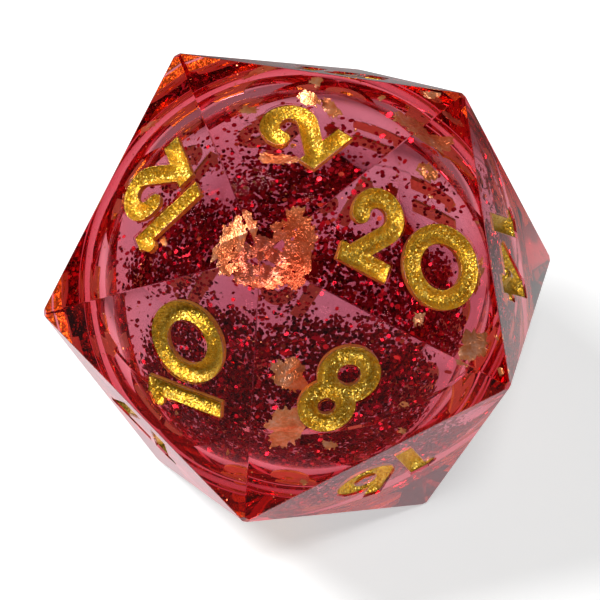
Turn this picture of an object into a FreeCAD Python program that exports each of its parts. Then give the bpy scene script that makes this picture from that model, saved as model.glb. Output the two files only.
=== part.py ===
"""Liquid-core twenty-sided die.

A regular icosahedron of clear crimson resin is cast round a hollow spherical capsule.
The capsule holds tinted liquid and hexagonal glitter. Scraps of copper leaf lie in the resin,
and the twenty engraved numbers are filled with gold paint.

Millimetres, +Z up. The die stands on the face marked 19 with the face marked 2 on top.
The origin is the centre of the bottom face. -Y points at the corner shared by 2, 20, 8, 10 and 12.
"""
import FreeCAD, Part
import math
import os
import random
from FreeCAD import Matrix, Vector

# Die body
FACE_TO_FACE = 22.0
EDGE_ROUND = 0.12
CORNER_CUT = 0.16

# Engraving and paint
STROKE = 0.95
DIGIT_HEIGHT = 4.3
DIGIT_GAP = 0.45
ENGRAVE_DEPTH = 0.60
PAINT_BELOW_FACE = 0.10
RIM_WIDTH = 0.06
RIM_DEPTH = 0.05
CUT_CLEARANCE = 0.2
DOT_RADIUS = 0.42
TWO_DIGIT_SHIFT_X = 0.15
TWO_DIGIT_SHIFT_Y = -0.3
LEADING_ONE_SHIFT_X = 0.25
EIGHT_OVERSHOOT = 0.3

# Capsule
CAPSULE_OUTER_RADIUS = 9.45
CAPSULE_INNER_RADIUS = 9.0
LIP_HEIGHT = 0.5
PLUG_RADIUS = 0.8
PLUG_ELEVATION = 35.0

# Liquid and glitter
LIQUID_RADIUS = 8.4
FLAKE_ACROSS = 0.2
FLAKE_THICKNESS = 0.03
FLAKE_SPACING = 0.3
SUSPENDED_FLAKES = 140
SUSPENDED_RADIUS = 8.0
SETTLED_FLAKES = 240
SETTLED_RADIUS = 8.7
SETTLED_SPREAD = 50.0

# Copper leaf
LEAF_THICKNESS = 0.06
SPECK_SHAPE = 0.7
SHALLOW_DEPTH = 1.12

PHI = (1 + math.sqrt(5)) / 2
INRADIUS = FACE_TO_FACE / 2
EDGE = INRADIUS * 2 * math.sqrt(3) / PHI ** 2
CIRCUMRADIUS = EDGE * math.sqrt(PHI * math.sqrt(5)) / 2
CENTRE = Vector(0, 0, INRADIUS)
ORIGIN = Vector(0, 0, 0)

# Scraps of leaf: face they are under, place on it (right, up), depth, length, width, and turn from
# the face's right-hand direction in degrees. Shallow ones lie along the face, deeper ones along the
# capsule.
LEAVES = [
    (12, -4.6, -2.5, 1.30, 3.0, 1.8, -50),
    (2, -5.9, -3.0, 2.80, 1.9, 1.8, -45),
    (20, -5.1, -2.1, 2.20, 3.1, 1.9, -75),
    (2, 4.8, -3.4, 1.60, 3.3, 1.9, -55),
    (2, 3.5, 2.2, 0.80, 1.0, 0.8, 20),
    (2, 2.3, 1.6, 0.90, 1.4, 0.9, 80),
    (2, 2.6, 0.3, 1.00, 2.0, 0.9, 60),
    (2, -1.5, -0.3, 1.00, 2.2, 0.9, -60),
    (20, -0.2, 3.9, 0.90, 1.3, 1.0, -15),
    (2, 6.7, -2.7, 1.10, 1.2, 0.7, -70),
    (2, -0.2, 3.3, 0.90, 1.1, 0.8, -60),
    (20, 4.1, 0.4, 1.10, 2.2, 0.8, -90),
    (20, 5.1, -3.0, 0.90, 2.1, 1.6, 80),
    (8, 2.2, 0.8, 1.00, 2.4, 1.9, -40),
    (8, 0.8, 3.4, 1.00, 3.2, 2.3, -70),
    (8, -1.5, 3.0, 0.90, 0.9, 0.6, 10),
    (20, 1.7, -3.0, 0.90, 1.1, 0.8, 80),
    (14, 2.6, -1.4, 1.05, 1.2, 0.8, -15),
    (18, -3.2, -1.8, 1.30, 2.4, 1.2, 25),
    (15, 3.4, -2.4, 1.25, 1.9, 1.1, -60),
    (4, 0.8, 3.6, 1.30, 1.6, 1.1, 45),
    (5, -3.4, -1.9, 1.25, 2.2, 1.0, 5),
    (9, 3.2, 1.2, 1.15, 1.4, 0.9, -25),
    (13, -2.8, 2.2, 1.20, 1.8, 1.0, 65),
]

# Crumbs of leaf: face they lie under, place on it, depth, length.
SPECKS = [
    (2, -0.6, -0.1, 0.80, 0.50),
    (2, 4.7, -1.1, 0.80, 0.60),
    (20, 6.1, -2.0, 0.80, 0.50),
    (20, 6.8, -3.5, 0.90, 0.60),
    (8, -3.5, -0.7, 0.80, 0.60),
    (8, -4.2, 0.6, 0.80, 0.60),
    (12, -1.8, 0.6, 0.80, 0.70),
    (8, -1.6, 5.3, 0.80, 0.50),
    (10, -1.5, -0.6, 0.80, 0.50),
    (20, 2.9, 0.6, 0.90, 0.35),
    (20, 0.3, 2.9, 0.90, 0.35),
    (10, -3.0, 0.4, 0.90, 0.35),
    (10, -4.1, -2.7, 0.90, 0.35),
    (20, 3.1, 2.9, 0.90, 0.30),
    (2, 2.2, -1.6, 0.90, 0.30),
    (16, 1.9, 2.4, 1.00, 0.45),
    (17, -2.2, -1.2, 1.00, 0.40),
    (3, 2.4, -1.9, 1.10, 0.50),
    (6, -2.6, 1.6, 1.00, 0.40),
    (11, 1.8, 3.0, 1.10, 0.50),
    (7, 2.9, -1.5, 1.00, 0.40),
]


# ---------------------------------------------------------------- icosahedron

def ring_point(radius, height, azimuth):
    """Point of a ring about the vertical axis, seen from the die's centre."""
    angle = math.radians(azimuth)
    return Vector(radius * math.cos(angle), radius * math.sin(angle), height)


def corner_points():
    """The twelve corners from the centre: two face triangles and two wider rings."""
    small = EDGE / math.sqrt(3)
    large = small * PHI
    ring_height = INRADIUS - EDGE / math.sqrt(3)
    corners = []
    for azimuth in (270, 150, 30):
        corners.append(ring_point(small, INRADIUS, azimuth))
    for azimuth in (330, 210, 90):
        corners.append(ring_point(large, ring_height, azimuth))
    return corners + [corner * -1 for corner in corners]


CORNERS = corner_points()
FRONT, BACK_LEFT, BACK_RIGHT, RIGHT, LEFT, BACK = CORNERS[:6]
BELOW = BACK * -1


def number_the_faces():
    """Each face's three corners, the one its number's top points at first.

    Opposite faces add up to 21. Five numbers stand round the front corner, clockwise from the
    top face, five more across the far edges of those, and the other ten are opposite them.
    """
    around = [BACK_LEFT, BACK_RIGHT, RIGHT, BELOW, LEFT]
    inner = [(2, BACK_LEFT), (20, BACK_RIGHT), (8, BELOW), (10, LEFT), (12, LEFT)]
    outer = [18, 14, 16, 17, 15]
    faces = {}
    for place, (number, top) in enumerate(inner):
        corners = [FRONT, around[place], around[(place + 1) % 5]]
        corners.sort(key=lambda corner: corner is not top)
        faces[number] = corners
    for place, number in enumerate(outer):
        far_corner = around[(place + 3) % 5] * -1
        faces[number] = [far_corner, around[place], around[(place + 1) % 5]]
    for number in list(faces):
        faces[21 - number] = [corner * -1 for corner in faces[number]]
    return faces


FACES = number_the_faces()


def face_frame(number, right=0.0, up=0.0, depth=0.0):
    """Placement on a face: x to the number's right, y to its top, z outwards."""
    top = FACES[number][0]
    middle = (FACES[number][0] + FACES[number][1] + FACES[number][2]) * (1 / 3)
    z_axis = Vector(middle).normalize()
    y_axis = (top - middle).normalize()
    x_axis = y_axis.cross(z_axis)
    origin = middle + x_axis * right + y_axis * up - z_axis * depth
    matrix = Matrix(
        x_axis.x, y_axis.x, z_axis.x, origin.x,
        x_axis.y, y_axis.y, z_axis.y, origin.y,
        x_axis.z, y_axis.z, z_axis.z, origin.z,
        0, 0, 0, 1)
    return FreeCAD.Placement(matrix)


def polyhedron(inradius):
    """Sharp icosahedron with the given centre-to-face distance."""
    scale = inradius / INRADIUS
    faces = []
    for corners in FACES.values():
        loop = [corner * scale for corner in corners]
        faces.append(Part.Face(Part.makePolygon(loop + loop[:1])))
    return Part.Solid(Part.Shell(faces))


def rounded_die():
    """Icosahedron with a small round along every edge and domed corners."""
    rounded = polyhedron(INRADIUS - EDGE_ROUND).makeOffsetShape(EDGE_ROUND, 1e-4, join=0)
    return rounded.common(Part.makeSphere(CIRCUMRADIUS - CORNER_CUT))


# ---------------------------------------------------------------- digits

def disc(x, y, radius):
    return Part.Face(Part.Wire(Part.makeCircle(radius, Vector(x, y, 0))))


def ring(x, y, radius, stroke=STROKE):
    """Round stroke about (x, y), radius measured to the middle of the stroke."""
    return disc(x, y, radius + stroke / 2).cut(disc(x, y, radius - stroke / 2))


def outline(*points):
    loop = [Vector(x, y, 0) for x, y in points]
    return Part.Face(Part.makePolygon(loop + loop[:1]))


def block(x_low, x_high, y_low, y_high):
    return outline((x_low, y_low), (x_high, y_low), (x_high, y_high), (x_low, y_high))


def bar(start, end, stroke=STROKE):
    """Straight stroke between two points, square at its ends."""
    length = math.dist(start, end)
    side_x = -(end[1] - start[1]) / length * stroke / 2
    side_y = (end[0] - start[0]) / length * stroke / 2
    return outline(
        (start[0] + side_x, start[1] + side_y), (start[0] - side_x, start[1] - side_y),
        (end[0] - side_x, end[1] - side_y), (end[0] + side_x, end[1] + side_y))


def on_circle(x, y, radius, angle):
    turn = math.radians(angle)
    return x + radius * math.cos(turn), y + radius * math.sin(turn)


def arc_stroke(x, y, radius, start, end, stroke=STROKE):
    """Bent stroke about (x, y) between two angles, with round ends."""
    inner = radius - stroke / 2
    outer = radius + stroke / 2
    middle = (start + end) / 2
    edges = []
    for edge_radius in (inner, outer):
        corners = [on_circle(x, y, edge_radius, angle) for angle in (start, middle, end)]
        edges.append(Part.Arc(*[Vector(px, py, 0) for px, py in corners]).toShape())
    for angle in (start, end):
        ends = [Vector(*on_circle(x, y, edge_radius, angle), 0) for edge_radius in (inner, outer)]
        edges.append(Part.LineSegment(*ends).toShape())
    shape = Part.Face(Part.Wire(Part.__sortEdges__(edges)))
    caps = [disc(*on_circle(x, y, radius, angle), stroke / 2) for angle in (start, end)]
    return shape.multiFuse(caps)


def digit_0():
    radius = (DIGIT_HEIGHT - STROKE) / 2 - 0.05
    return [ring(radius + STROKE / 2, DIGIT_HEIGHT / 2, radius)], 2 * radius + STROKE


def digit_1():
    stem_left = 0.55
    stem = block(stem_left, stem_left + 0.9, 0, DIGIT_HEIGHT)
    flag_stroke = 0.62
    flag_top = (stem_left + 0.35, DIGIT_HEIGHT - flag_stroke / 2)
    flag_tip = (flag_stroke / 2, DIGIT_HEIGHT - 0.66)
    flag = [bar(flag_tip, flag_top, flag_stroke), disc(*flag_tip, flag_stroke / 2)]
    return [stem] + flag, stem_left + 0.9


def digit_2():
    radius = 0.945
    middle = radius + STROKE / 2
    top_y = DIGIT_HEIGHT - middle
    shoulder = on_circle(middle, top_y, radius, -38)
    foot = (0.73, STROKE / 2)
    base = block(0.05, 2 * middle, 0, STROKE)
    parts = [arc_stroke(middle, top_y, radius, -38, 195), bar(shoulder, foot), disc(*foot, STROKE / 2)]
    return parts + [base], 2 * middle


def digit_3():
    top_radius = 0.79
    low_radius = (DIGIT_HEIGHT - STROKE) / 2 - top_radius
    middle = low_radius + STROKE / 2
    top_y = DIGIT_HEIGHT - STROKE / 2 - top_radius
    low_y = low_radius + STROKE / 2
    waist_y = 2 * low_radius + STROKE / 2
    return [
        arc_stroke(middle, top_y, top_radius, -90, 165),
        arc_stroke(middle, low_y, low_radius, -165, 90),
        bar((middle - 0.3, waist_y), (middle + 0.1, waist_y)),
    ], 2 * middle


def digit_4():
    tip = (0.48, 1.30)
    stem_x = 2.2
    parts = [
        block(stem_x - 0.45, stem_x + 0.45, 0, DIGIT_HEIGHT),
        block(0.3, 3.0, 0.85, 1.75),
        bar(tip, (stem_x, DIGIT_HEIGHT - 0.45), 0.9),
        disc(*tip, 0.45),
        disc(stem_x, DIGIT_HEIGHT - 0.45, 0.45),
    ]
    return parts, 3.0


def digit_5():
    radius = 0.98
    middle = radius + STROKE / 2
    bend = on_circle(middle, middle, radius, 140)
    corner = (0.95, DIGIT_HEIGHT - STROKE / 2)
    return [
        arc_stroke(middle, middle, radius, -155, 140),
        bar(bend, corner, 0.85),
        block(0.5, 2.65, DIGIT_HEIGHT - STROKE, DIGIT_HEIGHT),
    ], 2 * middle


def digit_6():
    stroke = 0.92
    radius = 1.07
    middle = radius + stroke / 2
    top = (middle + 0.32, DIGIT_HEIGHT - 0.02)
    reach = math.dist((middle, middle), top)
    towards_top = math.degrees(math.atan2(top[1] - middle, top[0] - middle))
    touch = on_circle(middle, middle, radius, towards_top + math.degrees(math.acos(radius / reach)))
    return [ring(middle, middle, radius, stroke), bar(touch, top, stroke)], 2 * middle


def digit_7():
    return [
        block(0, 2.8, DIGIT_HEIGHT - STROKE, DIGIT_HEIGHT),
        outline((1.75, DIGIT_HEIGHT - 0.5), (2.8, DIGIT_HEIGHT - 0.5), (1.45, 0), (0.4, 0)),
    ], 2.8


def digit_8():
    top_radius = 0.93
    low_radius = 1.06
    middle = low_radius + STROKE / 2
    return [
        ring(middle, middle - EIGHT_OVERSHOOT, low_radius),
        ring(middle, DIGIT_HEIGHT + EIGHT_OVERSHOOT - top_radius - STROKE / 2, top_radius),
    ], 2 * middle


def turned_half(shapes, width):
    """The same digit upside down, which turns a 6 into a 9."""
    turned = []
    for shape in shapes:
        copy = shape.copy()
        copy.rotate(Vector(width / 2, DIGIT_HEIGHT / 2, 0), Vector(0, 0, 1), 180)
        turned.append(copy)
    return turned


def digit_9():
    shapes, width = digit_6()
    return turned_half(shapes, width), width


DIGITS = [digit_0, digit_1, digit_2, digit_3, digit_4, digit_5, digit_6, digit_7, digit_8, digit_9]


def glyph_solid(shapes, low, high):
    """Overlapping flat strokes as one raised digit between two heights."""
    strokes = []
    for shape in shapes:
        for face in shape.Faces:
            face.translate(Vector(0, 0, low))
            strokes.append(face.extrude(Vector(0, 0, high - low)))
    if len(strokes) == 1:
        return strokes[0]
    return strokes[0].multiFuse(strokes[1:]).removeSplitter()


def number_solids(number, low, high):
    """The number's digits as solids between two heights measured from its face."""
    digits = [DIGITS[int(character)]() for character in str(number)]
    total = sum(width for shapes, width in digits) + DIGIT_GAP * (len(digits) - 1)
    left = -total / 2
    foot = -DIGIT_HEIGHT / 2
    if number >= 10:
        left += TWO_DIGIT_SHIFT_X
        foot += TWO_DIGIT_SHIFT_Y
    if 10 <= number < 20:
        left += LEADING_ONE_SHIFT_X
    solids = []
    for shapes, width in digits:
        solid = glyph_solid(shapes, low, high)
        solid.translate(Vector(left, foot, 0))
        solids.append(solid)
        left += width + DIGIT_GAP
    if number in (6, 9):
        dot = disc(left - DIGIT_GAP + 0.3 + DOT_RADIUS, foot + DOT_RADIUS, DOT_RADIUS)
        solids.append(glyph_solid([dot], low, high))
    return solids


def worn_rim(solid):
    """Shallow step round a digit, as wide as the worn rim of its groove."""
    rims = []
    for face in solid.Faces:
        if face.normalAt(0, 0).z > 0.99:
            wider = face.makeOffset2D(RIM_WIDTH)
            rims.append(wider.extrude(Vector(0, 0, -CUT_CLEARANCE - RIM_DEPTH)))
    return rims


def number_groove(number):
    """Cutters for a number: its digits, and the rims round them."""
    cutters = number_solids(number, -ENGRAVE_DEPTH, CUT_CLEARANCE)
    for solid in list(cutters):
        cutters += worn_rim(solid)
    return on_face(number, cutters)


def number_paint(number):
    """The paint that fills the number's digits to just below the face."""
    return on_face(number, number_solids(number, -ENGRAVE_DEPTH, -PAINT_BELOW_FACE))


def on_face(number, solids):
    placement = face_frame(number)
    for solid in solids:
        solid.Placement = placement.multiply(solid.Placement)
    return solids


# ---------------------------------------------------------------- capsule, liquid and glitter

def sphere_shell(outer, inner):
    return Part.makeSphere(outer).cut(Part.makeSphere(inner))


def slab(low, high):
    """Wide flat box between two heights, counted from the die's centre."""
    width = 4 * CAPSULE_OUTER_RADIUS
    return Part.makeBox(width, width, high - low, Vector(-width / 2, -width / 2, low))


def plug_blank():
    """Cylinder through the capsule's wall at the filling hole."""
    tilt = math.radians(PLUG_ELEVATION)
    direction = Vector(0, math.cos(tilt), math.sin(tilt))
    length = CAPSULE_OUTER_RADIUS - CAPSULE_INNER_RADIUS + 2
    return Part.makeCylinder(PLUG_RADIUS, length, direction * (CAPSULE_INNER_RADIUS - 1), direction)


def make_capsule():
    """Two half shells that meet in a stepped lip, and the plug of the filling hole."""
    wall = sphere_shell(CAPSULE_OUTER_RADIUS, CAPSULE_INNER_RADIUS)
    middle_radius = (CAPSULE_OUTER_RADIUS + CAPSULE_INNER_RADIUS) / 2
    lip = sphere_shell(middle_radius, CAPSULE_INNER_RADIUS).common(slab(0, LIP_HEIGHT))
    reach = CAPSULE_OUTER_RADIUS + 1
    lower = wall.common(slab(-reach, 0)).fuse(lip).removeSplitter()
    upper = wall.common(slab(0, reach)).cut(lip).cut(plug_blank())
    plug = wall.common(plug_blank())
    return upper, lower, plug


def hex_flake(place, normal, turn):
    """One hexagonal flake of glitter lying across the given direction."""
    corner_radius = FLAKE_ACROSS / math.sqrt(3)
    loop = []
    for corner in range(7):
        angle = math.radians(60 * corner)
        loop.append(Vector(corner_radius * math.cos(angle), corner_radius * math.sin(angle), 0))
    flake = Part.Face(Part.makePolygon(loop)).extrude(Vector(0, 0, FLAKE_THICKNESS))
    spin = FreeCAD.Rotation(Vector(0, 0, 1), turn)
    lay = FreeCAD.Rotation(Vector(0, 0, 1), normal)
    flake.Placement = FreeCAD.Placement(place, lay.multiply(spin))
    return flake


def random_direction(rng):
    height = rng.uniform(-1, 1)
    return ring_point(math.sqrt(1 - height * height), height, rng.uniform(0, 360))


def scattered_flakes(rng, count, draw):
    """Flakes at drawn places and directions, none closer than the spacing."""
    places = []
    flakes = []
    while len(flakes) < count:
        place, normal = draw()
        if all(place.distanceToPoint(other) > FLAKE_SPACING for other in places):
            places.append(place)
            flakes.append(hex_flake(place, normal, rng.uniform(0, 60)))
    return flakes


def suspended_flakes():
    """Flakes drifting in the liquid at any angle."""
    rng = random.Random(20)

    def draw():
        distance = SUSPENDED_RADIUS * rng.random() ** (1 / 3)
        return random_direction(rng) * distance, random_direction(rng)

    return scattered_flakes(rng, SUSPENDED_FLAKES, draw)


def settled_flakes():
    """Flakes lying flat on the capsule's wall, in a bowl round its lowest point."""
    rng = random.Random(12)

    def draw():
        spread = math.radians(SETTLED_SPREAD * rng.random() ** 0.6)
        sideways = SETTLED_RADIUS * math.sin(spread)
        place = ring_point(sideways, -SETTLED_RADIUS * math.cos(spread), rng.uniform(0, 360))
        return place, Vector(place).normalize()

    return scattered_flakes(rng, SETTLED_FLAKES, draw)


# ---------------------------------------------------------------- copper leaf

def torn_scrap(rng, length, width):
    """Flat scrap with a torn, uneven outline, centred on its own origin."""
    corner_count = 9
    loop = []
    for corner in range(corner_count):
        angle = 2 * math.pi * corner / corner_count
        reach = rng.uniform(0.72, 1.0) / 2
        loop.append(Vector(length * reach * math.cos(angle), width * reach * math.sin(angle), 0))
    return Part.Face(Part.makePolygon(loop + loop[:1])).extrude(Vector(0, 0, -LEAF_THICKNESS))


def leaf_place(number, right, up, depth):
    """Placement inside a face, flat along the face, or along the capsule's wall if it lies deep."""
    start = face_frame(number, right, up, depth)
    if depth < SHALLOW_DEPTH:
        return start
    z_axis = Vector(start.Base).normalize()
    y_axis = z_axis.cross(start.Rotation.multVec(Vector(1, 0, 0))).normalize()
    x_axis = y_axis.cross(z_axis)
    return FreeCAD.Placement(start.Base, FreeCAD.Rotation(x_axis, y_axis, z_axis, "ZXY"))


def copper_leaf():
    """The larger scraps, each a piece of its own, and the crumbs as one group."""
    rng = random.Random(7)
    scraps = []
    for number, right, up, depth, length, width, turn in LEAVES:
        scrap = torn_scrap(rng, length, width)
        scrap.rotate(ORIGIN, Vector(0, 0, 1), turn)
        scrap.Placement = leaf_place(number, right, up, depth).multiply(scrap.Placement)
        scraps.append(scrap)
    crumbs = []
    for number, right, up, depth, length in SPECKS:
        crumb = torn_scrap(rng, length, length * SPECK_SHAPE)
        crumb.Placement = leaf_place(number, right, up, depth).multiply(crumb.Placement)
        crumbs.append(crumb)
    return scraps, crumbs


# ---------------------------------------------------------------- assembly

def make_parts():
    numbers = range(1, 21)
    scraps, crumbs = copper_leaf()
    grooves = []
    for number in numbers:
        grooves += number_groove(number)
    body = rounded_die()
    body = body.cut(grooves)
    body = body.cut([Part.makeSphere(CAPSULE_OUTER_RADIUS)] + scraps + crumbs)
    upper, lower, plug = make_capsule()
    suspended = suspended_flakes()
    parts = {
        "resin_body": body,
        "core_shell_upper": upper,
        "core_shell_lower": lower,
        "fill_plug": plug,
        "core_liquid": Part.makeSphere(LIQUID_RADIUS).cut(suspended),
        "glitter_suspended": Part.makeCompound(suspended),
        "glitter_settled": Part.makeCompound(settled_flakes()),
        "copper_leaf_specks": Part.makeCompound(crumbs),
    }
    for number in numbers:
        parts["numeral_%02d" % number] = Part.makeCompound(number_paint(number))
    for place, scrap in enumerate(scraps, start=1):
        parts["copper_leaf_%02d" % place] = scrap
    return parts


def main():
    os.makedirs("parts", exist_ok=True)
    for name, shape in make_parts().items():
        placed = shape.copy()
        placed.translate(CENTRE)
        print("%-22s %3d solid(s) %9.3f mm3 %s" % (
            name, len(placed.Solids), placed.Volume, "ok" if placed.isValid() else "NOT VALID"))
        placed.exportStep("parts/%s.step" % name)


main()
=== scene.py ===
"""Looks for a liquid-core twenty-sided die: crimson resin round a clear capsule of glitter in liquid.

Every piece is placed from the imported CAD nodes, in metres, in the CAD frame. Light refracts at three
surfaces: air to resin, resin to the capsule's plastic (on the ball inside the resin's mesh), and plastic
to liquid (on the inside of the capsule's wall). The surfaces that only touch those are drawn as clear.
"""

import math

import bmesh
import bpy
import numpy as np
from mathutils import Matrix, Vector
from mathutils.geometry import delaunay_2d_cdt


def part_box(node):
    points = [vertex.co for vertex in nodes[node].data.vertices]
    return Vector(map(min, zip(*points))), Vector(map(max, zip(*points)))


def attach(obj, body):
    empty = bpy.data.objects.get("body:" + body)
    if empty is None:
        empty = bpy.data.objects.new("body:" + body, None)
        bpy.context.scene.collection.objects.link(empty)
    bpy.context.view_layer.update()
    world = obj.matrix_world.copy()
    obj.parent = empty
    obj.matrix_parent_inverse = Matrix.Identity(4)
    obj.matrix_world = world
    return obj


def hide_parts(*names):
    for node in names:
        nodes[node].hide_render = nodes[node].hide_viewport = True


MM = 0.001
SEED = 20
SAME_PLACE = 0.0005 * MM
SAME_DIRECTION = 0.99999

VIEW_AZIMUTH = 13.93
VIEW_ELEVATION = 47.85
VIEW_ROLL = -1.66
VIEW_DISTANCE = 144.92 * MM
VIEW_SHIFT_RIGHT = -0.215 * MM
VIEW_SHIFT_UP = -0.765 * MM
LENS_MM = 169.83
SENSOR_MM = 36.0

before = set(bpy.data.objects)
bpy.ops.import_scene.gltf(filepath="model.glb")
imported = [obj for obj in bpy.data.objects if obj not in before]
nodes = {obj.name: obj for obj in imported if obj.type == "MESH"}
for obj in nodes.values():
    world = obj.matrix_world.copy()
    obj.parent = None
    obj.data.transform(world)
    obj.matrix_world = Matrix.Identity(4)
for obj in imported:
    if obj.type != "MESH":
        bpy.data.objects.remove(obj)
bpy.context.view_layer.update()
body_low, body_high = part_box("resin_body")
CENTRE = np.array((body_low + body_high) / 2)
INRADIUS = float(body_high.z - body_low.z) / 2
rng = np.random.default_rng(SEED)


# ---------------------------------------------------------------- mesh tools

def node_triangles(name):
    """Merged vertices and triangles of a CAD node."""
    mesh = nodes[name].data
    points = np.zeros(len(mesh.vertices) * 3)
    mesh.vertices.foreach_get("co", points)
    points = points.reshape(-1, 3)
    mesh.calc_loop_triangles()
    triangles = np.zeros(len(mesh.loop_triangles) * 3, np.int64)
    mesh.loop_triangles.foreach_get("vertices", triangles)
    keys = np.round(points / SAME_PLACE).astype(np.int64)
    _, first, inverse = np.unique(keys, axis=0, return_index=True, return_inverse=True)
    triangles = inverse.reshape(-1)[triangles].reshape(-1, 3)
    distinct = (
        (triangles[:, 0] != triangles[:, 1])
        & (triangles[:, 1] != triangles[:, 2])
        & (triangles[:, 2] != triangles[:, 0])
    )
    return points[first], triangles[distinct]


def triangle_normals(points, triangles):
    """The unit normal of each triangle."""
    a, b, c = (points[triangles[:, k]] for k in range(3))
    normals = np.cross(b - a, c - a)
    return normals / np.maximum(np.linalg.norm(normals, axis=1), 1e-30)[:, None]


def connected_parts(count, triangles):
    """A label for each vertex, the same within one connected surface."""
    label = np.arange(count)
    while True:
        lowest = label[triangles].min(axis=1)
        updated = label.copy()
        for k in range(3):
            np.minimum.at(updated, triangles[:, k], lowest)
        updated = updated[updated]
        if np.array_equal(updated, label):
            return label
        label = updated


def used_only(points, faces):
    """The points that the faces use, and the faces renumbered to match."""
    used, inverse = np.unique(faces, return_inverse=True)
    return points[used], inverse.reshape(np.shape(faces))


def new_object(name, points, faces, material, smooth=False):
    """A mesh object with one material, or with a list of them as its slots."""
    mesh = bpy.data.meshes.new(name)
    mesh.from_pydata([tuple(p) for p in points], [], [tuple(f) for f in faces])
    mesh.update()
    if smooth:
        mesh.shade_smooth()
    obj = bpy.data.objects.new(name, mesh)
    bpy.context.scene.collection.objects.link(obj)
    for m in material if isinstance(material, list) else [material]:
        mesh.materials.append(m)
    return obj


def point_values(obj, name, values):
    """Stores one number per vertex for the materials to read."""
    layer = obj.data.attributes.new(name, "FLOAT", "POINT")
    layer.data.foreach_set("value", values.astype(np.float32))


def sphere_surface(radius, detail, inward=False):
    """Points and triangles of a fine ball surface round the die's centre."""
    bm = bmesh.new()
    bmesh.ops.create_icosphere(bm, subdivisions=detail, radius=radius)
    points = np.array([v.co for v in bm.verts]) + CENTRE
    faces = np.array([[v.index for v in f.verts] for f in bm.faces])
    bm.free()
    return points, faces[:, ::-1] if inward else faces


def unit(vectors):
    """Each row at length 1."""
    return vectors / np.linalg.norm(vectors, axis=1)[:, None]


def random_rotations(count):
    """Rotation matrices spread evenly over all directions."""
    w, x, y, z = unit(rng.normal(size=(count, 4))).T
    rows = [
        [1 - 2 * (y * y + z * z), 2 * (x * y - z * w), 2 * (x * z + y * w)],
        [2 * (x * y + z * w), 1 - 2 * (x * x + z * z), 2 * (y * z - x * w)],
        [2 * (x * z - y * w), 2 * (y * z + x * w), 1 - 2 * (x * x + y * y)],
    ]
    return np.moveaxis(np.array(rows), 2, 0)


def frames_along(normals, tilt):
    """Rotation matrices whose third axis is near each normal, spun at random and tilted a little."""
    axis = unit(normals + rng.normal(size=normals.shape) * tilt)
    side = unit(np.cross(axis, rng.normal(size=axis.shape)))
    return np.stack([side, np.cross(axis, side), axis], axis=2)


# ---------------------------------------------------------------- materials

class Nodes:
    """A short way to write a node tree."""

    def __init__(self, tree):
        self.tree = tree

    def add(self, kind, values=None, **settings):
        node = self.tree.nodes.new(kind)
        for key, value in settings.items():
            setattr(node, key, value)
        for key, value in (values or {}).items():
            self.put(node.inputs[key], value)
        return node

    def put(self, socket, value):
        """Links a socket to the value, or sets it."""
        if isinstance(value, bpy.types.NodeSocket):
            self.tree.links.new(value, socket)
        else:
            socket.default_value = value

    def math(self, operation, a, b=0.0, clamp=False):
        node = self.add("ShaderNodeMath", {0: a, 1: b}, operation=operation, use_clamp=clamp)
        return node.outputs[0]

    def vector(self, operation, values):
        return self.add("ShaderNodeVectorMath", values, operation=operation).outputs[0]

    def noise(self, scale, detail, roughness, vector):
        values = {"Scale": scale, "Detail": detail, "Roughness": roughness, "Vector": vector}
        return self.add("ShaderNodeTexNoise", values).outputs["Fac"]

    def position(self):
        return self.add("ShaderNodeTexCoord").outputs["Object"]

    def attribute(self, name):
        return self.add("ShaderNodeAttribute", attribute_name=name).outputs["Fac"]

    def ramp(self, factor, stops):
        node = self.add("ShaderNodeValToRGB", {"Fac": factor})
        elements = node.color_ramp.elements
        while len(elements) < len(stops):
            elements.new(0.5)
        for element, (place, colour) in zip(elements, stops):
            element.position = place
            element.color = (*colour, 1.0)
        return node.outputs["Color"]

    def bump(self, height, distance, strength, normal=None):
        values = {"Height": height, "Distance": distance, "Strength": strength}
        if normal is not None:
            values["Normal"] = normal
        return self.add("ShaderNodeBump", values).outputs["Normal"]

    def between(self, factor, a, b):
        """The number a at factor 0 and b at factor 1."""
        return self.add("ShaderNodeMix", {"Factor": factor, "A": a, "B": b}).outputs["Result"]

    def mix(self, factor, a, b):
        """Shader a at factor 0 and b at factor 1."""
        return self.add("ShaderNodeMixShader", {0: factor, 1: a, 2: b}).outputs[0]

    def glass(self, index, **inputs):
        return self.add("ShaderNodeBsdfGlass", {"IOR": index, "Roughness": 0.0, **inputs}).outputs[0]

    def clear(self):
        return self.add("ShaderNodeBsdfTransparent", {"Color": (1, 1, 1, 1)}).outputs[0]

    def diffuse(self, colour):
        return self.add("ShaderNodeBsdfDiffuse", {"Color": colour}).outputs[0]

    def principled(self, values):
        return self.add("ShaderNodeBsdfPrincipled", values).outputs[0]

    def blurred_rays(self, path):
        """1 for reflection rays from a rough surface, 0 for all others."""
        return self.math(
            "SUBTRACT", path.outputs["Is Glossy Ray"], path.outputs["Is Singular Ray"], clamp=True
        )

    def soft_rays(self):
        """1 for lamp, diffuse and blurred reflection rays, 0 for what is seen through clear surfaces."""
        path = self.add("ShaderNodeLightPath")
        blurred = self.blurred_rays(path)
        either = self.math("MAXIMUM", path.outputs["Is Shadow Ray"], path.outputs["Is Diffuse Ray"])
        return self.math("MAXIMUM", either, blurred)


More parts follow.
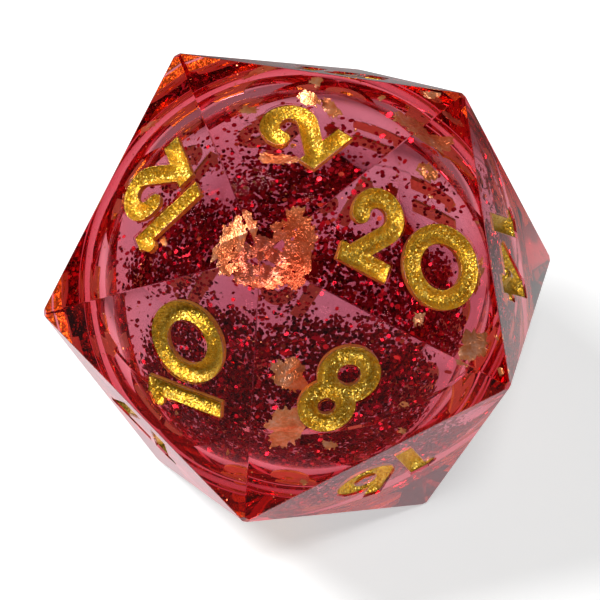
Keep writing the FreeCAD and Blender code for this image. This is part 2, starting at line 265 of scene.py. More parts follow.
class Material(Nodes):
    """A new material and its node tree."""

    def __init__(self, name):
        self.material = bpy.data.materials.new(name)
        self.material.use_nodes = True
        super().__init__(self.material.node_tree)
        self.tree.nodes.clear()
        self.output = self.add("ShaderNodeOutputMaterial")

    def surface(self, shader):
        self.put(self.output.inputs["Surface"], shader)
        return self.material

    def absorb(self, tint, density):
        """Light is lost on its way through, so thick parts are deeper in colour."""
        values = {"Color": (*tint, 1.0), "Density": density}
        self.put(self.output.inputs["Volume"], self.add("ShaderNodeVolumeAbsorption", values).outputs[0])


# Refractive indices of the cast resin, the capsule's plastic and the liquid.
RESIN_INDEX = 1.54
CAPSULE_INDEX = 1.50
LIQUID_INDEX = 1.33

# What the resin and the liquid absorb, per metre, and the colour that they leave.
RESIN_ABSORPTION = 235.0
RESIN_TINT = (0.89, 0.04, 0.17)
LIQUID_ABSORPTION = 66.0
LIQUID_TINT = (0.42, 0.03, 0.26)

# How deep the slow waves of the polished faces are, and the dark grey that lamp, diffuse and blurred rays
# meet on those faces from outside: an opaque stand-in that gives the die a dark, neutral shadow and shade
# instead of light through it.
WAVINESS = 0.012 * MM
RESIN_SHADE = (0.12, 0.10, 0.10, 1.0)

# Noise patterns: features per metre, detail and roughness.
RESIN_WAVES = (170.0, 1.0, 0.4)
PAINT_BLOTCHES = (2500.0, 3.0, 0.6)
LEAF_WRINKLES = (5000.0, 4.0, 0.6)
LEAF_PATCHES = (900.0, 3.0, 0.6)
CARD_FIBRE = (400.0, 2.0, 0.5)

GLITTER_COLOURS = [
    (0.0, (0.16, 0.003, 0.012)),
    (0.6, (0.82, 0.02, 0.07)),
    (0.93, (1.0, 0.05, 0.07)),
    (1.0, (1.0, 0.45, 0.15)),
]
GOLD_COLOURS = [(0.2, (0.62, 0.27, 0.006)), (0.5, (0.95, 0.50, 0.025)), (0.85, (1.0, 0.72, 0.14))]
PAINT_BACK_COLOURS = [(0.3, (0.70, 0.40, 0.20)), (0.7, (0.85, 0.55, 0.28))]
COPPER_COLOURS = [(0.40, (0.76, 0.25, 0.06)), (0.56, (0.94, 0.48, 0.16)), (0.72, (1.0, 0.80, 0.45))]

# Metal grains in the gold paint: how many per metre, and how far each leans out of the surface.
GOLD_GRAINS = 17000.0
GOLD_TILT = 0.80
# How brightly the paint's back glows: painted light that stands in for light reaching the back of the paint.
PAINT_BACK_GLOW = 0.22
# How deep the fine relief of the paint and of the leaf is.
METAL_RELIEF = 0.03 * MM


def resin_material():
    """Clear crimson resin. Its mesh also holds the ball where it meets the capsule, marked as cavity."""
    tree = Material("crimson_resin")
    cavity = tree.attribute("cavity")
    step = tree.math("MULTIPLY", cavity, RESIN_INDEX / CAPSULE_INDEX - RESIN_INDEX)
    wave = tree.noise(*RESIN_WAVES, tree.position())
    normal = tree.bump(wave, WAVINESS, tree.math("SUBTRACT", 1.0, cavity))
    glass = tree.glass(tree.math("ADD", step, RESIN_INDEX), Normal=normal)
    behind = tree.math("MAXIMUM", tree.add("ShaderNodeNewGeometry").outputs["Backfacing"], cavity)
    # painted shade: from outside, the resin is an opaque dark grey to lamp, diffuse and blurred rays, so the
    # die's shadow is dark and neutral
    soft = tree.mix(behind, tree.diffuse(RESIN_SHADE), tree.clear())
    tree.absorb(RESIN_TINT, RESIN_ABSORPTION)
    return tree.surface(tree.mix(tree.soft_rays(), glass, soft))


def capsule_inner_material():
    """The inside of the capsule's wall, where light goes from its plastic into the liquid."""
    tree = Material("capsule_wall")
    return tree.surface(tree.mix(tree.soft_rays(), tree.glass(CAPSULE_INDEX / LIQUID_INDEX), tree.clear()))


def capsule_outer_material():
    """The capsule's outside touches the resin, and the resin's own cavity surface bends the light."""
    tree = Material("capsule_outside")
    return tree.surface(tree.clear())


def liquid_material():
    """Tinted liquid. The capsule's wall bends the light, so this surface is clear."""
    tree = Material("tinted_liquid")
    tree.absorb(LIQUID_TINT, LIQUID_ABSORPTION)
    return tree.surface(tree.clear())


def glitter_material():
    """Metallic flakes, each with its own shade of red and a few of them orange."""
    tree = Material("red_glitter")
    colour = tree.ramp(tree.attribute("shade"), GLITTER_COLOURS)
    return tree.surface(tree.principled({"Base Color": colour, "Metallic": 0.65, "Roughness": 0.2}))


def gold_material():
    """Metallic paint: fine grains, each tilted its own way, with blotches of light and darker gold."""
    tree = Material("gold_paint")
    place = tree.position()
    grains = tree.add("ShaderNodeTexVoronoi", {"Vector": place, "Scale": GOLD_GRAINS}).outputs["Color"]
    blotch = tree.noise(*PAINT_BLOTCHES, place)
    value = tree.add("ShaderNodeSeparateColor", {"Color": grains}).outputs["Red"]
    tone = tree.math("ADD", tree.math("MULTIPLY", value, 0.6), tree.math("MULTIPLY", blotch, 0.5))
    tilt = tree.vector("SUBTRACT", {0: grains, 1: (0.5, 0.5, 0.5)})
    tilt = tree.vector("SCALE", {0: tilt, "Scale": GOLD_TILT})
    base = tree.add("ShaderNodeNewGeometry").outputs["Normal"]
    normal = tree.vector("NORMALIZE", {0: tree.vector("ADD", {0: tilt, 1: base})})
    values = {
        "Base Color": tree.ramp(tone, GOLD_COLOURS),
        "Metallic": 0.75,
        "Roughness": tree.math("ADD", tree.math("MULTIPLY", blotch, 0.25), 0.22),
        "Normal": tree.bump(blotch, METAL_RELIEF, 0.5, normal),
    }
    return tree.surface(tree.principled(values))


def paint_back_material():
    """The side of the paint that lies against the resin, dull and brown, with a faint painted glow so that
    it is not dark when seen from behind.
    """
    tree = Material("gold_paint_back")
    colour = tree.ramp(tree.noise(*PAINT_BLOTCHES, tree.position()), PAINT_BACK_COLOURS)
    values = {
        "Base Color": colour,
        "Roughness": 0.6,
        # painted light: the paint's back glows in its own colour
        "Emission Color": colour,
        "Emission Strength": PAINT_BACK_GLOW,
    }
    return tree.surface(tree.principled(values))


def copper_material():
    """Copper leaf: orange with patches of pale gold, finely wrinkled."""
    tree = Material("copper_leaf")
    place = tree.position()
    wrinkle = tree.noise(*LEAF_WRINKLES, place)
    patch = tree.noise(*LEAF_PATCHES, place)
    tone = tree.math("ADD", tree.math("MULTIPLY", wrinkle, 0.4), tree.math("MULTIPLY", patch, 0.7))
    values = {
        "Base Color": tree.ramp(tone, COPPER_COLOURS),
        "Metallic": 0.62,
        "Roughness": 0.24,
        "Normal": tree.bump(wrinkle, METAL_RELIEF, 0.6),
    }
    return tree.surface(tree.principled(values))


# ---------------------------------------------------------------- cast resin

FLAT_FACES = 20
EDGE_ROUND = 0.12 * MM
CAVITY_DETAIL = 6
# Rounds of projection that find the nearest point of the sharp body inside the rounded edges.
PROJECTION_ROUNDS = 40
# A triangle is part of a rounded edge if its corners are out from that body by this share of the
# rounding, and its own normal agrees this well with theirs.
EDGE_SHARE = 0.9
EDGE_AGREEMENT = 0.8
FACE_MARGIN = 0.002 * MM


def face_planes(points, triangles):
    """The outward normals of the die's twenty flat faces."""
    normals = triangle_normals(points, triangles)
    distance = ((points[triangles[:, 0]] - CENTRE) * normals).sum(axis=1)
    flat = normals[np.abs(distance - INRADIUS) < SAME_PLACE]
    found, count = [], []
    for n in flat:
        near = [k for k, m in enumerate(found) if n @ m > SAME_DIRECTION]
        if near:
            count[near[0]] += 1
        else:
            found.append(n)
            count.append(1)
    largest = np.argsort(count)[::-1][:FLAT_FACES]
    return np.array([found[k] for k in sorted(largest)])


def outer_resin():
    """The casting's outside surface, with its engraved grooves and without its inner hollows."""
    points, triangles = node_triangles("resin_body")
    label = connected_parts(len(points), triangles)
    outside = label[int(np.argmax(np.abs(points - CENTRE).max(axis=1)))]
    return used_only(points, triangles[label[triangles[:, 0]] == outside])


def nearest_inside(relative, planes):
    """The nearest point to each one in the sharp body that the rounding is rolled over."""
    inner = INRADIUS - EDGE_ROUND
    nearest = relative.copy()
    step = np.zeros((len(planes),) + relative.shape)
    for _ in range(PROJECTION_ROUNDS):
        for k, n in enumerate(planes):
            moved = nearest + step[k]
            over = np.maximum(moved @ n - inner, 0.0)
            projected = moved - over[:, None] * n
            step[k] = moved - projected
            nearest = projected
    return nearest


def resin_normals(points, triangles, planes):
    """Normals for triangle corners: exact on flats, rolling over rounded edges, sharp in grooves."""
    flat = triangle_normals(points, triangles)
    normals = np.repeat(flat[:, None, :], 3, axis=1)
    relative = points - CENTRE
    top = (relative @ planes.T).max(axis=1)
    away = relative - nearest_inside(relative, planes)
    length = np.linalg.norm(away, axis=1)
    smooth = away / np.maximum(length, 1e-12)[:, None]
    rounded = (length > EDGE_SHARE * EDGE_ROUND)[triangles].all(axis=1)
    rounded &= (smooth[triangles] * flat[:, None, :]).sum(axis=2).min(axis=1) > EDGE_AGREEMENT
    normals[rounded] = smooth[triangles[rounded]]
    for n in planes:
        on_plane = (flat @ n > SAME_DIRECTION) & (top[triangles].min(axis=1) > INRADIUS - FACE_MARGIN)
        normals[on_plane] = n
    return normals


def make_resin(cavity_radius, material):
    """The casting, with the ball of its cavity. Gives the die's face normals."""
    points, triangles = outer_resin()
    planes = face_planes(points, triangles)
    normals = resin_normals(points, triangles, planes)
    ball_points, ball_faces = sphere_surface(cavity_radius, CAVITY_DETAIL, inward=True)
    all_points = np.concatenate([points, ball_points])
    all_faces = np.concatenate([triangles, ball_faces + len(points)])
    obj = new_object("resin_casting", all_points, all_faces, material, smooth=True)
    inward = (CENTRE - ball_points[ball_faces]) / cavity_radius
    corner_normals = np.concatenate([normals, inward]).reshape(-1, 3)
    obj.data.normals_split_custom_set([tuple(n) for n in corner_normals])
    point_values(obj, "cavity", np.arange(len(all_points)) >= len(points))
    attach(obj, "casting")
    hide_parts("resin_body")
    return planes


# ---------------------------------------------------------------- capsule and liquid

CAPSULE_DETAIL = 6
LIQUID_DETAIL = 5


def capsule_radii():
    """The capsule's outer and inner radius, as the CAD has them."""
    points, _ = node_triangles("core_shell_upper")
    reach = np.linalg.norm(points - CENTRE, axis=1)
    return float(reach.max()), float(reach.min())


def make_capsule_half(name, node, upper, outer_radius, inner_radius, materials):
    """One half of the capsule's wall: an outer and an inner dome, and the flat joint between them."""
    bm = bmesh.new()
    bmesh.ops.create_icosphere(bm, subdivisions=CAPSULE_DETAIL, radius=outer_radius)
    inner = bmesh.ops.create_icosphere(bm, subdivisions=CAPSULE_DETAIL, radius=inner_radius)["verts"]
    inner_faces = {f for v in inner for f in v.link_faces}
    bmesh.ops.reverse_faces(bm, faces=list(inner_faces))
    for f in bm.faces:
        f.smooth = True
        f.material_index = 1 if f in inner_faces else 0
    down = (0, 0, -1.0 if upper else 1.0)
    geometry = list(bm.verts) + list(bm.edges) + list(bm.faces)
    bmesh.ops.bisect_plane(bm, geom=geometry, plane_co=(0, 0, 0), plane_no=down, clear_outer=True)
    rim = [e for e in bm.edges if e.is_boundary]
    for f in bmesh.ops.bridge_loops(bm, edges=rim)["faces"]:
        f.material_index = 0
        f.smooth = False
    bmesh.ops.translate(bm, verts=bm.verts, vec=Vector(CENTRE))
    obj = new_object(name, [], [], materials)
    bm.to_mesh(obj.data)
    bm.free()
    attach(obj, "casting")
    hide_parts(*node)


def make_liquid(radius, material):
    """The ball of liquid."""
    points, faces = sphere_surface(radius, LIQUID_DETAIL)
    obj = new_object("liquid_fill", points, faces, material, smooth=True)
    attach(obj, "liquid")
    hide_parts("core_liquid")


# ---------------------------------------------------------------- glitter

# One flake from corner to corner, its thickness, its range of sizes, and the room left at the wall.
FLAKE_ACROSS = 0.33 * MM
FLAKE_THICKNESS = 0.012 * MM
FLAKE_SIZES = (0.7, 1.05)
FLAKE_CLEARANCE = 0.02 * MM

# The bowl reaches this many degrees up from the bottom, blurred at its rim, and leans to one side.
BOWL_FLAKES = 9000
BOWL_ANGLE = 57.0
BOWL_BLUR = 3.0
BOWL_LEAN = 2.0
BOWL_DEPTH = 0.35 * MM
BOWL_FIRST = 0.06 * MM
BOWL_TILT = 0.35

# Drifting flakes gather round hubs at these shares of the liquid's radius, a little below the middle.
DRIFT_FLAKES = 1500
DRIFT_HUBS = 60
DRIFT_REACH = (0.55, 0.97)
DRIFT_SINK = 0.1
DRIFT_SPREAD = 0.9 * MM
DRIFT_MARGIN = 0.15 * MM
DRIFT_TILT = 0.45


def flake_cloud(name, centres, rotations, sizes, limit, material):
    """Many thin hexagonal flakes in one mesh, each with its own shade, all within the limit radius."""
    turns = np.arange(6) * math.pi / 3
    ring = np.stack([np.cos(turns), np.sin(turns)], axis=1) * FLAKE_ACROSS / 2
    low = np.column_stack([ring, np.full(6, -FLAKE_THICKNESS / 2)])
    high = np.column_stack([ring, np.full(6, FLAKE_THICKNESS / 2)])
    shape = np.concatenate([low, high])
    points = np.einsum("nij,kj->nki", rotations, shape) * sizes[:, None, None] + centres[:, None, :]
    reach = np.linalg.norm(points - CENTRE, axis=2, keepdims=True)
    points = CENTRE + (points - CENTRE) * np.minimum(1.0, limit / reach)
    faces = []
    for base in range(0, 12 * len(centres), 12):
        faces.append([base + k for k in (5, 4, 3, 2, 1, 0)])
        faces.append([base + k for k in (6, 7, 8, 9, 10, 11)])
        for k in range(6):
            after = (k + 1) % 6
            faces.append([base + k, base + after, base + 6 + after, base + 6 + k])
    obj = new_object(name, points.reshape(-1, 3), faces, material)
    point_values(obj, "shade", np.repeat(rng.random(len(centres)), 12))
    return obj


def make_settled(radius, material):
    """The bowl of glitter that has sunk to the bottom of the capsule."""
    share = rng.random(BOWL_FLAKES)
    polar = np.arccos(1 - share * (1 - math.cos(math.radians(BOWL_ANGLE))))
    polar = polar + rng.normal(size=BOWL_FLAKES) * math.radians(BOWL_BLUR)
    around = rng.random(BOWL_FLAKES) * 2 * math.pi
    outward = np.stack(
        [np.sin(polar) * np.cos(around), np.sin(polar) * np.sin(around), -np.cos(polar)], axis=1
    )
    lean = Matrix.Rotation(-math.radians(BOWL_LEAN), 3, "X")
    outward = outward @ np.array(lean).T
    depth = np.abs(rng.normal(size=BOWL_FLAKES)) * BOWL_DEPTH + BOWL_FIRST
    centres = CENTRE + outward * (radius - depth)[:, None]
    rotations = frames_along(-outward, BOWL_TILT)
    sizes = rng.uniform(*FLAKE_SIZES, BOWL_FLAKES)
    obj = flake_cloud("glitter_bowl", centres, rotations, sizes, radius - FLAKE_CLEARANCE, material)
    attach(obj, "settled_glitter")
    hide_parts("glitter_settled")


def make_suspended(radius, material):
    """Flakes that still drift in the liquid, in loose groups."""
    hubs = unit(rng.normal(size=(DRIFT_HUBS, 3)))
    hubs *= (radius * rng.uniform(*DRIFT_REACH, DRIFT_HUBS))[:, None]
    hubs[:, 2] -= DRIFT_SINK * radius
    chosen = rng.integers(0, DRIFT_HUBS, DRIFT_FLAKES)
    centres = hubs[chosen] + rng.normal(size=(DRIFT_FLAKES, 3)) * DRIFT_SPREAD
    length = np.linalg.norm(centres, axis=1)
    centres *= (np.minimum(length, radius - DRIFT_MARGIN) / length)[:, None]
    rotations = frames_along(np.tile((0.0, 0.0, 1.0), (DRIFT_FLAKES, 1)), DRIFT_TILT)
    sizes = rng.uniform(*FLAKE_SIZES, DRIFT_FLAKES)
    limit = radius - FLAKE_CLEARANCE
    obj = flake_cloud("glitter_drift", centres + CENTRE, rotations, sizes, limit, material)
    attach(obj, "liquid")
    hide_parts("glitter_suspended")


# ---------------------------------------------------------------- numerals

# Depths below the face: the paint's rim, how much lower its middle lies, and its underside.
PAINT_EDGE = 0.10 * MM
PAINT_DIP = 0.42 * MM
PAINT_BOTTOM = 0.62 * MM
HALF_STROKE = 0.475 * MM
# The paint reaches this far into the groove's wall, so no gap of air is left there.
PAINT_OVERLAP = 0.012 * MM
# Spacing of the points on the paint's surface, of their rows, how far they are shaken, the nearest
# that they come to the rim, and their unevenness, which fades out towards the rim.
PAINT_GRID = 0.055 * MM
PAINT_ROWS = 0.866
PAINT_SHAKE = 0.15
PAINT_MARGIN = 0.4
PAINT_GRAIN = 0.013 * MM
PAINT_CALM = 0.1 * MM
TOP_MARGIN = 0.01 * MM


def plane_axes(normal):
    """Two directions across a face."""
    side = np.cross(normal, (0.3, 0.5, 0.8))
    side /= np.linalg.norm(side)
    return side, np.cross(normal, side)


def segment_distance(points, starts, ends):
    """The distance from each point to the nearest of the segments."""
    along = ends - starts
    length = (along ** 2).sum(axis=1)
    best = np.full(len(points), np.inf)
    for s, d, l in zip(starts, along, length):
        t = np.clip(((points - s) @ d) / max(l, 1e-20), 0, 1)
        gap = np.linalg.norm(points - s - t[:, None] * d, axis=1)
        best = np.minimum(best, gap)
    return best


def inside_outline(points, starts, ends):
    """True where a point is inside the outlines, by the even-odd rule."""
    count = np.zeros(len(points), int)
    for (x0, y0), (x1, y1) in zip(starts, ends):
        if y0 == y1:
            continue
        crosses = (points[:, 1] >= min(y0, y1)) & (points[:, 1] < max(y0, y1))
        x = x0 + (points[:, 1] - y0) * (x1 - x0) / (y1 - y0)
        count += crosses & (x > points[:, 0])
    return count % 2 == 1


def border_of(faces):
    """The directed edges that only one face has."""
    edges = {}
    for face in faces:
        for k in range(len(face)):
            edges[(face[k], face[(k + 1) % len(face)])] = True
    return [(a, b) for a, b in edges if (b, a) not in edges]


def rim_of(plan, top):
    """The outline of the top triangles, moved outward into the groove's wall, and its edges."""
    border = border_of(top)
    outward = {}
    for a, b in border:
        d = plan[b] - plan[a]
        n = np.array((d[1], -d[0])) / np.linalg.norm(d)
        for v in (a, b):
            outward[v] = outward.get(v, 0) + n
    order = sorted(outward)
    index = {v: k for k, v in enumerate(order)}
    rim = [plan[v] + outward[v] / np.linalg.norm(outward[v]) * PAINT_OVERLAP for v in order]
    return np.array(rim), [(index[a], index[b]) for a, b in border]


def stroke_surface(rim, rim_edges):
    """A flat mesh of even triangles inside the outline, and each point's distance to the outline."""
    starts = rim[[a for a, b in rim_edges]]
    ends = rim[[b for a, b in rim_edges]]
    low, high = rim.min(axis=0), rim.max(axis=0)
    xs = np.arange(low[0], high[0], PAINT_GRID)
    ys = np.arange(low[1], high[1], PAINT_GRID * PAINT_ROWS)
    grid = np.array([(x + (k % 2) * PAINT_GRID / 2, y) for k, y in enumerate(ys) for x in xs])
    grid = grid + rng.uniform(-PAINT_SHAKE, PAINT_SHAKE, grid.shape) * PAINT_GRID
    grid = grid[inside_outline(grid, starts, ends)]
    grid = grid[segment_distance(grid, starts, ends) > PAINT_MARGIN * PAINT_GRID]
    scale = 1.0 / MM
    cloud = [Vector(p * scale) for p in np.concatenate([rim, grid])]
    verts, _, faces, _, _, _ = delaunay_2d_cdt(cloud, rim_edges, [], 0, 1e-6)
    verts = np.array([tuple(v) for v in verts]) / scale
    faces = np.array([f for f in faces if len(f) == 3])
    faces = faces[inside_outline(verts[faces].mean(axis=1), starts, ends)]
    a, b, c = (verts[faces[:, k]] for k in range(3))
    turn = (b - a)[:, 0] * (c - a)[:, 1] - (b - a)[:, 1] * (c - a)[:, 0]
    faces[turn < 0] = faces[turn < 0][:, ::-1]
    verts, faces = used_only(verts, faces)
    return verts, faces, segment_distance(verts, starts, ends)


def make_numeral(node, planes, material):
    """Gold paint dished in its groove: highest at the walls, lowest along the middle of the stroke."""
    points, triangles = node_triangles(node)
    relative = points - CENTRE
    normal = planes[int(np.argmax(planes @ relative.mean(axis=0)))]
    side, up = plane_axes(normal)
    height = relative @ normal
    top = triangle_normals(points, triangles) @ normal > 0.999
    top &= height[triangles].min(axis=1) > height.max() - TOP_MARGIN
    plan = np.stack([relative @ side, relative @ up], axis=1)
    verts, faces, wall = stroke_surface(*rim_of(plan, triangles[top]))

    def sunk(depth):
        """The flat mesh's points at a depth below the die's face."""
        across = CENTRE + verts[:, :1] * side + verts[:, 1:] * up
        return across + (INRADIUS - depth)[:, None] * normal

    dip = PAINT_EDGE + PAINT_DIP * np.sin(np.clip(wall / HALF_STROKE, 0, 1) * math.pi / 2)
    grain = rng.normal(size=len(verts)) * PAINT_GRAIN * np.clip(wall / PAINT_CALM, 0, 1)
    both = np.concatenate([sunk(dip + grain), sunk(np.full(len(verts), PAINT_BOTTOM))])
    count = len(verts)
    walls = [(a, a + count, b + count, b) for a, b in border_of(faces)]
    all_faces = [tuple(f) for f in faces] + [tuple(f[::-1] + count) for f in faces] + walls
    obj = new_object(node.replace("numeral", "gold_numeral"), both, all_faces, material)
    order = np.arange(len(all_faces))
    obj.data.polygons.foreach_set("use_smooth", order < len(faces))
    back = (order >= len(faces)) & (order < 2 * len(faces))
    obj.data.polygons.foreach_set("material_index", back.astype(np.int32))
    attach(obj, "casting")
    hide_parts(node)


# ---------------------------------------------------------------- copper leaf

LEAF_THICKNESS = 0.012 * MM
# Room left to the die's faces and to the capsule, and rounds of pushing points back to keep it.
LEAF_COVER = 0.66 * MM
LEAF_CLEARANCE = 0.05 * MM
CLAMP_ROUNDS = 8
# Spacing of the sheet's points, the fewest and most along a side, and how far they are shaken.
LEAF_GRID = 0.05 * MM
LEAF_STEPS = (10, 64)
LEAF_SHAKE = 0.2
# The sheet's width as a share of the CAD plate's, and its folds' height as a share of its size.
LEAF_SPREAD = 1.2
LEAF_FOLD = 0.22
# Straight folds and their share of the height, coarse and fine, and the roughness on top of them.
COARSE_FOLDS = (9, 0.64)
FINE_FOLDS = (28, 0.36)
LEAF_GRAIN = 0.009
# The torn outline: its mean radius, how deep its waves are, how they shrink, and how many there are.
TORN_RADIUS = 0.88
TORN_DEPTH = 0.17
TORN_FALL = 0.6
TORN_WAVES = 21
# Holes in the sheet: waves added up, how fine they are, and the height over which there is a hole.
HOLE_WAVES = 6
HOLE_SCALE = 9
HOLE_LEVEL = 3.9

# Dust: how many grains, their radii, their room, the block they are drawn in as a share of the
# die's inradius, and how many are drawn for each one kept.
DUST_GRAINS = 1300
DUST_RADIUS = (0.022 * MM, 0.055 * MM)
DUST_COVER = 0.70 * MM
DUST_CLEARANCE = 0.1 * MM
DUST_BLOCK = 1.25
DUST_DRAWS = 30
DUST_CORNERS = 5


def crumple(plan, size, folds, share):
    """Height of a sheet creased along random straight folds, at most its share of 1."""
    height = np.zeros(len(plan))
    for _ in range(folds):
        turn = rng.uniform(0, 2 * math.pi)
        offset = rng.uniform(-0.5, 0.5) * size
        height += np.abs(plan @ (math.cos(turn), math.sin(turn)) - offset) * rng.uniform(-1, 1)
    height -= height.mean()
    return height / max(np.abs(height).max(), 1e-9) * share


def torn_outline(xs, ys):
    """True on the cells of a square grid that are inside a torn outline and not in a hole."""
    angle = np.arctan2(ys, xs)
    torn = TORN_RADIUS + sum(
        rng.uniform(0.3, 1.0) * TORN_DEPTH / k ** TORN_FALL * np.cos(k * angle + rng.uniform(0, 2 * math.pi))
        for k in range(1, TORN_WAVES + 1)
    )
    waves = 0
    for _ in range(HOLE_WAVES):
        along = rng.normal(size=2) @ (xs.ravel(), ys.ravel())
        waves = waves + np.cos(along * HOLE_SCALE + rng.uniform(0, 6))
    return (np.hypot(xs, ys) < torn) & (waves.reshape(xs.shape) < HOLE_LEVEL)


def torn_sheet(points, planes, shell):
    """Points and faces of a torn, crumpled sheet where a flat scrap of the CAD lies."""
    middle = points.mean(axis=0)
    _, _, axes = np.linalg.svd(points - middle, full_matrices=False)
    plan = (points - middle) @ axes[:2].T
    length, width = plan.max(axis=0) - plan.min(axis=0)
    size = max(length, width)
    steps = int(np.clip(length / LEAF_GRID, *LEAF_STEPS))
    xs, ys = np.meshgrid(np.linspace(-1, 1, steps), np.linspace(-1, 1, steps), indexing="ij")
    keep = torn_outline(xs, ys)
    grid = np.stack([xs.ravel() * length, ys.ravel() * width], axis=1) * LEAF_SPREAD / 2
    grid += rng.normal(size=grid.shape) * LEAF_SHAKE * LEAF_GRID
    height = crumple(grid, size, *COARSE_FOLDS) + crumple(grid, size, *FINE_FOLDS)
    height += rng.normal(size=len(grid)) * LEAF_GRAIN

    # fold as deep as there is room for between the die's faces and the capsule
    out = middle - CENTRE
    inward = axes[2] if axes[2] @ out < 0 else -axes[2]
    above = max(INRADIUS - LEAF_COVER - (out @ planes.T).max(), LEAF_CLEARANCE)
    below = max(np.linalg.norm(out) - shell - LEAF_CLEARANCE, LEAF_CLEARANCE)
    reach = min(LEAF_FOLD * size, (above + below) / 2)
    shift = np.clip(0.0, reach - above, below - reach)
    sheet = middle + grid @ axes[:2] + (shift + height * reach)[:, None] * inward

    faces = []
    for i in range(steps - 1):
        for j in range(steps - 1):
            corners = [(i, j), (i + 1, j), (i + 1, j + 1), (i, j + 1)]
            if all(keep[c] for c in corners):
                faces.append([a * steps + b for a, b in corners])
    sheet, faces = used_only(sheet, np.array(faces))

    # push stray points off the capsule, and back in from the faces
    relative = sheet - CENTRE
    distance = np.linalg.norm(relative, axis=1)
    relative *= (np.maximum(distance, shell + LEAF_CLEARANCE) / distance)[:, None]
    for _ in range(CLAMP_ROUNDS):
        heights = relative @ planes.T
        over = np.maximum(heights.max(axis=1) - (INRADIUS - LEAF_COVER), 0)
        relative -= over[:, None] * planes[heights.argmax(axis=1)]
    return relative + CENTRE, faces


def leaf_object(name, node, points, faces, material):
    """A piece of leaf with the leaf's thickness."""
    obj = new_object(name, points, faces, material)
    solid = obj.modifiers.new("thickness", "SOLIDIFY")
    solid.thickness = LEAF_THICKNESS
    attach(obj, "casting")
    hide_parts(node)


def make_leaf(node, planes, shell, material):
    """One scrap of leaf."""
    points, faces = torn_sheet(node_triangles(node)[0], planes, shell)
    leaf_object(node.replace("leaf", "scrap"), node, points, faces, material)


def make_crumbs(node, planes, shell, material):
    """The loose crumbs of leaf, and fine metal dust through the rest of the resin."""
    cad_points, triangles = node_triangles(node)
    label = connected_parts(len(cad_points), triangles)
    points, faces, count = [], [], 0
    for part in np.unique(label):
        sheet, quads = torn_sheet(cad_points[label == part], planes, shell)
        points.append(sheet)
        faces += [[count + v for v in quad] for quad in quads]
        count += len(sheet)
    spots = rng.uniform(-DUST_BLOCK, DUST_BLOCK, (DUST_DRAWS * DUST_GRAINS, 3)) * INRADIUS
    clear = np.linalg.norm(spots, axis=1) > shell + DUST_CLEARANCE
    clear &= (spots @ planes.T).max(axis=1) < INRADIUS - DUST_COVER
    spots = spots[clear][:DUST_GRAINS]
    turns = np.arange(DUST_CORNERS) * 2 * math.pi / DUST_CORNERS
    ring = np.stack([np.cos(turns), np.sin(turns), 0 * turns], axis=1)
    sizes = rng.uniform(*DUST_RADIUS, len(spots))
    dust = np.einsum("nij,kj->nki", random_rotations(len(spots)), ring) * sizes[:, None, None]
    points.append((dust + spots[:, None, :]).reshape(-1, 3) + CENTRE)
    faces += [[count + DUST_CORNERS * k + v for v in range(DUST_CORNERS)] for k in range(len(spots))]
    leaf_object("copper_crumbs", node, np.concatenate(points), faces, material)


# ---------------------------------------------------------------- light and camera

FLOOR_HALF = 0.45
FLOOR_DROP = 0.03 * MM
CARD_WHITE = [(0.0, (0.88, 0.88, 0.88)), (1.0, (0.92, 0.92, 0.92))]
# The card glows by itself, with no lamp under it: an even glow to the camera, and a painted glow to the die.
FLOOR_GLOW = 0.48
PAINTED_GLOW_TO_DIE = 0.70
# How much of its colour the card has for the die, and how that and its glow fade away from the die: painted
# shade, so the card is dark far from the die in what the die mirrors and gathers.
GATHERED_WHITE = 0.4
FADE_START = 18 * MM
FADE_END = 36 * MM
FADE_LEAST = 0.08
# What is left of it at any distance for what is seen through the die.
FAR_THROUGH = 0.35
# Colour of the painted glow from right under the die outward: a painted pink pool of light where light
# through the die would fall.
NEAR_REACH = 24 * MM
NEAR_PAINTED_GLOW = [(0.0, (1.0, 0.62, 0.68)), (0.45, (1.0, 0.66, 0.71)), (0.9, (1.0, 1.0, 1.0))]

# The room's brightness to the camera, mirrored by the die, seen through it, and on rough metal.
ROOM_SEEN = 1.0
ROOM_LIGHT = 0.22
ROOM_THROUGH = 0.55
ROOM_PAINT = 0.95

# Round lamps: name, place, width and power in watts.
LAMPS = [
    ("key", (-0.21, -0.02, 0.28), 0.15, 1.05),
    ("front", (0.07, -0.12, 0.33), 0.08, 0.34),
    ("side", (0.25, -0.12, 0.07), 0.05, 0.16),
]

# Enough bounces for light that is mirrored inside the resin, and for the clear surfaces in its way.
BOUNCES = 24
CLEAR_BOUNCES = 32


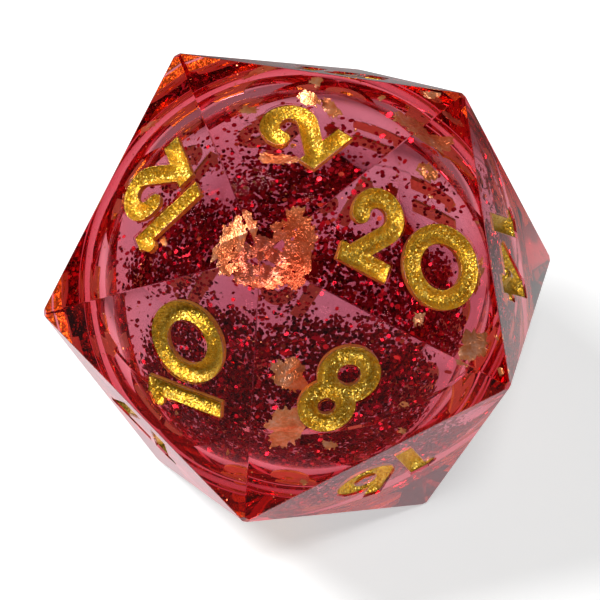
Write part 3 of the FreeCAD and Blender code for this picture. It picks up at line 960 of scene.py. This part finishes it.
def floor_material():
    """White card that glows evenly to the camera. To other rays it is a dimmer copy, with a painted pink
    pool of light near the die and painted shade that fades it away from the die.
    """
    tree = Material("pale_floor")
    place = tree.position()

    def card(colour, strength, tint=(1, 1, 1, 1)):
        glow = tree.add("ShaderNodeEmission", {"Color": tint, "Strength": strength}).outputs[0]
        return tree.add("ShaderNodeAddShader", {0: tree.diffuse(colour), 1: glow}).outputs[0]

    far = tree.add("ShaderNodeVectorMath", {0: place}, operation="LENGTH").outputs["Value"]
    fade = tree.add(
        "ShaderNodeMapRange",
        {"Value": far, "From Min": FADE_START, "From Max": FADE_END, "To Min": 1.0, "To Max": FADE_LEAST},
        interpolation_type="SMOOTHSTEP",
    ).outputs["Result"]
    path = tree.add("ShaderNodeLightPath")
    through = tree.math("MULTIPLY", path.outputs["Transmission Depth"], FAR_THROUGH)
    seen = tree.math("MAXIMUM", fade, tree.math("MINIMUM", through, FAR_THROUGH))
    # painted light: a pink glow near the die, and a painted fall-off of the card's colour and glow away from
    # it, for all rays but the camera's
    near = tree.ramp(tree.math("MULTIPLY", far, 1.0 / NEAR_REACH), NEAR_PAINTED_GLOW)
    glow = tree.vector("SCALE", {0: near, "Scale": seen})
    gathered = card(tree.math("MULTIPLY", seen, GATHERED_WHITE), PAINTED_GLOW_TO_DIE, glow)
    white = tree.ramp(tree.noise(*CARD_FIBRE, place), CARD_WHITE)
    return tree.surface(tree.mix(path.outputs["Is Camera Ray"], gathered, card(white, FLOOR_GLOW)))


def make_floor():
    """A plain pale card just under the die."""
    signs = [(-1, -1), (1, -1), (1, 1), (-1, 1)]
    corners = [(x * FLOOR_HALF, y * FLOOR_HALF, -FLOOR_DROP) for x, y in signs]
    floor = new_object("floor", corners, [(0, 1, 2, 3)], floor_material())


def make_room():
    """An even white room, dimmer to what the die mirrors and gathers than to the camera."""
    world = bpy.data.worlds.new("studio")
    bpy.context.scene.world = world
    world.use_nodes = True
    tree = Nodes(world.node_tree)
    path = tree.add("ShaderNodeLightPath")
    strength = tree.between(path.outputs["Transmission Depth"], ROOM_LIGHT, ROOM_THROUGH)
    strength = tree.between(tree.blurred_rays(path), strength, ROOM_PAINT)
    strength = tree.between(path.outputs["Is Camera Ray"], strength, ROOM_SEEN)
    tree.put(world.node_tree.nodes["Background"].inputs["Strength"], strength)


def make_lamps():
    """Soft lamps that face the die."""
    for name, place, size, watts in LAMPS:
        data = bpy.data.lights.new(name, "AREA")
        data.shape = "DISK"
        data.size = size
        data.energy = watts
        lamp = bpy.data.objects.new(name, data)
        lamp.location = place
        lamp.rotation_mode = "QUATERNION"
        lamp.rotation_quaternion = (Vector(CENTRE) - Vector(place)).to_track_quat("-Z", "Y")
        bpy.context.scene.collection.objects.link(lamp)


def make_camera():
    """The photograph's camera."""
    azimuth, elevation, roll = (math.radians(v) for v in (VIEW_AZIMUTH, VIEW_ELEVATION, VIEW_ROLL))
    back = Vector(
        (
            math.sin(azimuth) * math.cos(elevation),
            -math.cos(azimuth) * math.cos(elevation),
            math.sin(elevation),
        )
    )
    level = Vector((math.cos(azimuth), math.sin(azimuth), 0.0))
    rise = back.cross(level)
    right = level * math.cos(roll) + rise * math.sin(roll)
    up = rise * math.cos(roll) - level * math.sin(roll)
    camera = bpy.data.objects.new("camera", bpy.data.cameras.new("camera"))
    camera.data.lens = LENS_MM
    camera.data.sensor_width = SENSOR_MM
    camera.data.clip_start = 0.01
    camera.data.clip_end = 10.0
    spot = Vector(CENTRE) + right * VIEW_SHIFT_RIGHT + up * VIEW_SHIFT_UP + back * VIEW_DISTANCE
    camera.matrix_world = Matrix.Translation(spot) @ Matrix((right, up, back)).transposed().to_4x4()
    bpy.context.scene.collection.objects.link(camera)
    bpy.context.scene.camera = camera


# ---------------------------------------------------------------- assembly

# The pieces are this far apart where they touch, so that light meets their surfaces one by one.
PIECE_GAP = 0.02 * MM

shell_outer, shell_inner = capsule_radii()

make_camera()
make_floor()
make_room()
make_lamps()
planes = make_resin(shell_outer, resin_material())
walls = [capsule_outer_material(), capsule_inner_material()]
capsule_upper = ["core_shell_upper", "fill_plug"]
make_capsule_half("capsule_upper", capsule_upper, True, shell_outer - PIECE_GAP, shell_inner, walls)
capsule_lower = ["core_shell_lower"]
make_capsule_half("capsule_lower", capsule_lower, False, shell_outer - PIECE_GAP, shell_inner, walls)
liquid_radius = shell_inner - PIECE_GAP
make_liquid(liquid_radius, liquid_material())
glitter = glitter_material()
make_settled(liquid_radius, glitter)
make_suspended(liquid_radius, glitter)
gold = [gold_material(), paint_back_material()]
copper = copper_material()
for name in sorted(nodes):
    if name.startswith("numeral_"):
        make_numeral(name, planes, gold)
    elif name == "copper_leaf_specks":
        make_crumbs(name, planes, shell_outer, copper)
    elif name.startswith("copper_leaf_"):
        make_leaf(name, planes, shell_outer, copper)

scene = bpy.context.scene
scene.view_settings.view_transform = "Standard"
scene.cycles.max_bounces = BOUNCES
scene.cycles.transmission_bounces = BOUNCES
scene.cycles.glossy_bounces = BOUNCES
scene.cycles.transparent_max_bounces = CLEAR_BOUNCES
